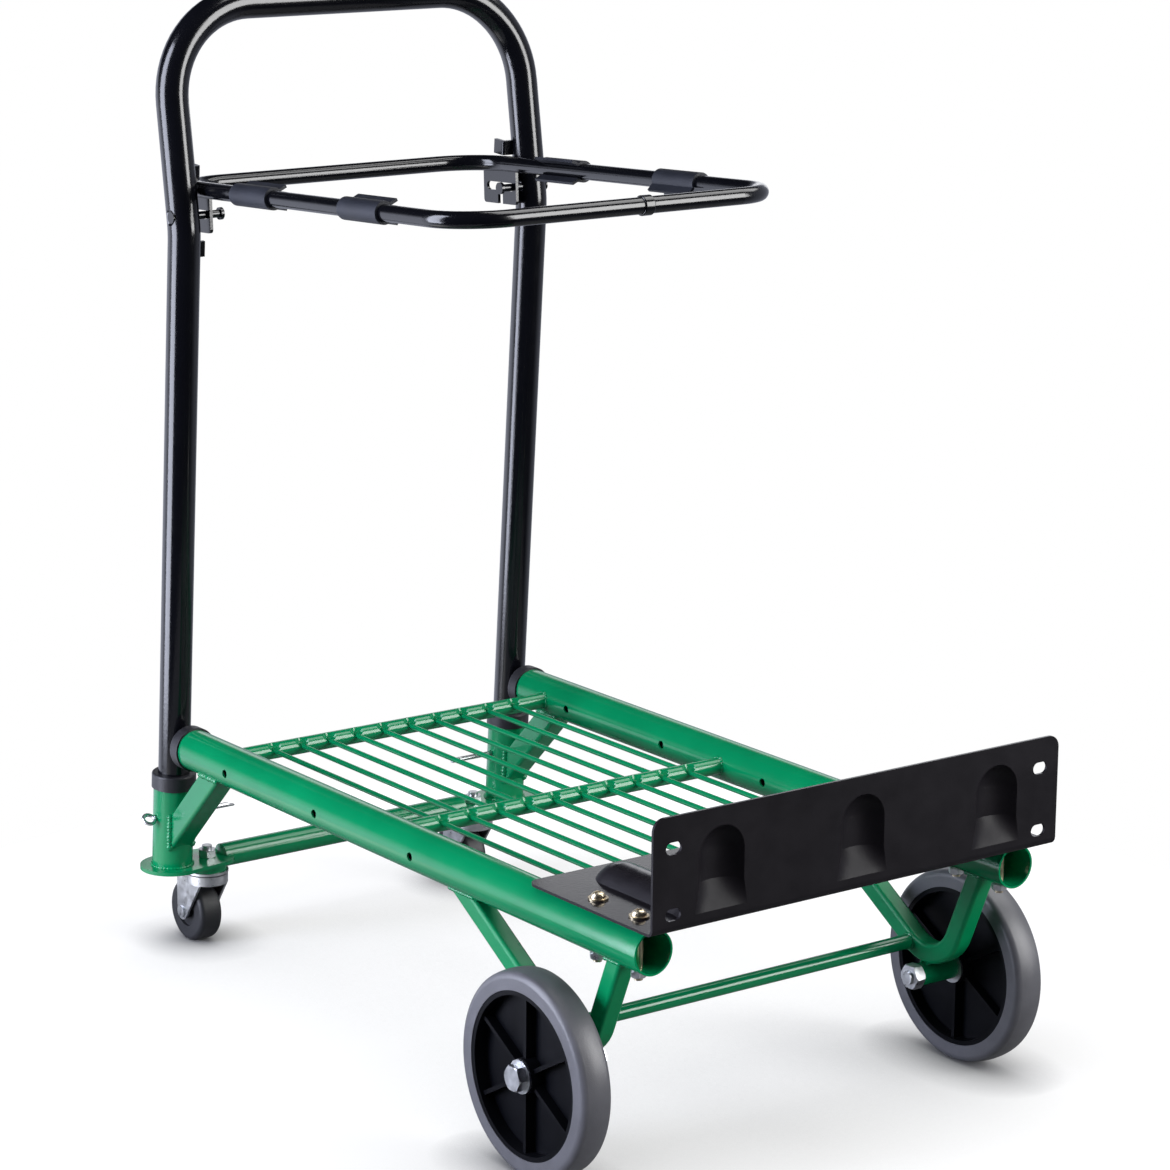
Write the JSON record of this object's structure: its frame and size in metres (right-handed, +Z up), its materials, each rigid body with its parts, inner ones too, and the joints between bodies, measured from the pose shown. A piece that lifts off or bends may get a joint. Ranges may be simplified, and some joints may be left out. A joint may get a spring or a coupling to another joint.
{
  "type": "folding hand truck",
  "caption": "Folding tube-frame hand truck set up as a platform trolley: wire deck, toe plate, loop handle with a hinged bag frame, rubber front wheels and swivel casters.",
  "frame": {"origin": "on the floor under the middle of the whole truck", "axes": "+Z up, front and toe plate towards -Y, handle towards +Y, +X to the right seen from the front"},
  "size_m": [0.4296, 0.692, 0.763],
  "materials": {
    "green_paint": "gloss powder coat",
    "black_paint": "gloss powder coat",
    "toe_black": "satin powder coat",
    "black_plastic": "satin moulded",
    "clip_plastic": "matte moulded",
    "zinc": "bright zinc plating",
    "yellow_zinc": "yellow zinc plating",
    "grey_rubber": "matte",
    "black_rubber": "matte"
  },
  "bodies": {
    "deck": {"rear_cross_bar": "green_paint", "middle_cross_bar": "green_paint", "front_cross_bar": "green_paint", "deck_wires": "green_paint", "lower_cross_tube": "green_paint", "tie_rod": "green_paint", "side_rail_left": "green_paint", "socket_left": "green_paint", "gusset_left": "green_paint", "caster_plate_left": "green_paint", "wheel_bracket_left": "green_paint", "axle_sleeve_left": "green_paint", "rail_ring_left": "black_plastic", "socket_ring_left": "black_plastic", "side_rail_right": "green_paint", "socket_right": "green_paint", "gusset_right": "green_paint", "caster_plate_right": "green_paint", "wheel_bracket_right": "green_paint", "axle_sleeve_right": "green_paint", "rail_ring_right": "black_plastic", "socket_ring_right": "black_plastic", "handle": "black_paint", "pivot_studs": "black_paint", "upper_stop_tabs": "black_paint", "lower_stop_lugs": "black_paint", "toe_plate": "toe_black", "toe_plate_bolts": "yellow_zinc", "toe_plate_washers": "yellow_zinc", "toe_plate_saddles": "black_plastic", "toe_plate_nuts": "zinc", "axle_bolts": "zinc", "axle_washers": "zinc", "axle_nuts": "zinc", "caster_stems": "zinc", "caster_stem_nuts": "zinc", "caster_top_races": "zinc"},
    "front_wheel_left": {"front_hub_left": "black_plastic", "front_tyre_left": "grey_rubber"},
    "caster_left": {"caster_fork_left": "zinc", "caster_axle_left": "zinc"},
    "caster_roller_left": {"caster_wheel_left": "black_rubber"},
    "pin_left": {"lock_pin_left": "zinc"},
    "front_wheel_right": {"front_hub_right": "black_plastic", "front_tyre_right": "grey_rubber"},
    "caster_right": {"caster_fork_right": "zinc", "caster_axle_right": "zinc"},
    "caster_roller_right": {"caster_wheel_right": "black_rubber"},
    "pin_right": {"lock_pin_right": "zinc"},
    "bag_frame": {"bag_frame_tube": "black_paint", "bag_frame_joint_ring": "black_paint", "bag_hanger_plates": "black_paint"},
    "clip_left_rear": {"bag_clip_left_rear": "clip_plastic"},
    "clip_left_front": {"bag_clip_left_front": "clip_plastic"},
    "clip_right_rear": {"bag_clip_right_rear": "clip_plastic"},
    "clip_right_front": {"bag_clip_right_front": "clip_plastic"}
  },
  "joints": [
    {"name": "front_wheel_left_spin", "type": "hinge", "parent": "deck", "child": "front_wheel_left", "pos_m": [-0.1947, -0.2388, 0.073], "axis": [1, 0, 0], "continuous": true},
    {"name": "caster_left_swivel", "type": "hinge", "parent": "deck", "child": "caster_left", "pos_m": [-0.1295, 0.303, 0.062], "axis": [0, 0, 1], "continuous": true},
    {"name": "caster_wheel_left_spin", "type": "hinge", "parent": "caster_left", "child": "caster_roller_left", "pos_m": [-0.1295, 0.321, 0.025], "axis": [1, 0, 0], "continuous": true},
    {"name": "lock_pin_left_pull", "type": "slide", "parent": "deck", "child": "pin_left", "axis": [-1, 0, 0], "range_m": [0, 0.09]},
    {"name": "front_wheel_right_spin", "type": "hinge", "parent": "deck", "child": "front_wheel_right", "pos_m": [0.1947, -0.2388, 0.073], "axis": [1, 0, 0], "continuous": true},
    {"name": "caster_right_swivel", "type": "hinge", "parent": "deck", "child": "caster_right", "pos_m": [0.1295, 0.303, 0.062], "axis": [0, 0, 1], "continuous": true},
    {"name": "caster_wheel_right_spin", "type": "hinge", "parent": "caster_right", "child": "caster_roller_right", "pos_m": [0.1295, 0.321, 0.025], "axis": [1, 0, 0], "continuous": true},
    {"name": "lock_pin_right_pull", "type": "slide", "parent": "deck", "child": "pin_right", "axis": [1, 0, 0], "range_m": [0, 0.09]},
    {"name": "bag_frame_fold", "type": "hinge", "parent": "deck", "child": "bag_frame", "pos_m": [0, 0.26654, 0.59483], "axis": [-1, 0, 0], "range_deg": [0, 40]},
    {"name": "bag_clip_left_rear_turn", "type": "hinge", "parent": "bag_frame", "child": "clip_left_rear", "pos_m": [-0.142, 0.1949, 0.61669], "axis": [0, -0.9988, 0.048], "continuous": true},
    {"name": "bag_clip_left_front_turn", "type": "hinge", "parent": "bag_frame", "child": "clip_left_front", "pos_m": [-0.142, 0.04707, 0.62379], "axis": [0, -0.9988, 0.048], "continuous": true},
    {"name": "bag_clip_right_rear_turn", "type": "hinge", "parent": "bag_frame", "child": "clip_right_rear", "pos_m": [0.142, 0.1949, 0.61669], "axis": [0, -0.9988, 0.048], "continuous": true},
    {"name": "bag_clip_right_front_turn", "type": "hinge", "parent": "bag_frame", "child": "clip_right_front", "pos_m": [0.142, 0.04707, 0.62379], "axis": [0, -0.9988, 0.048], "continuous": true}
  ]
}
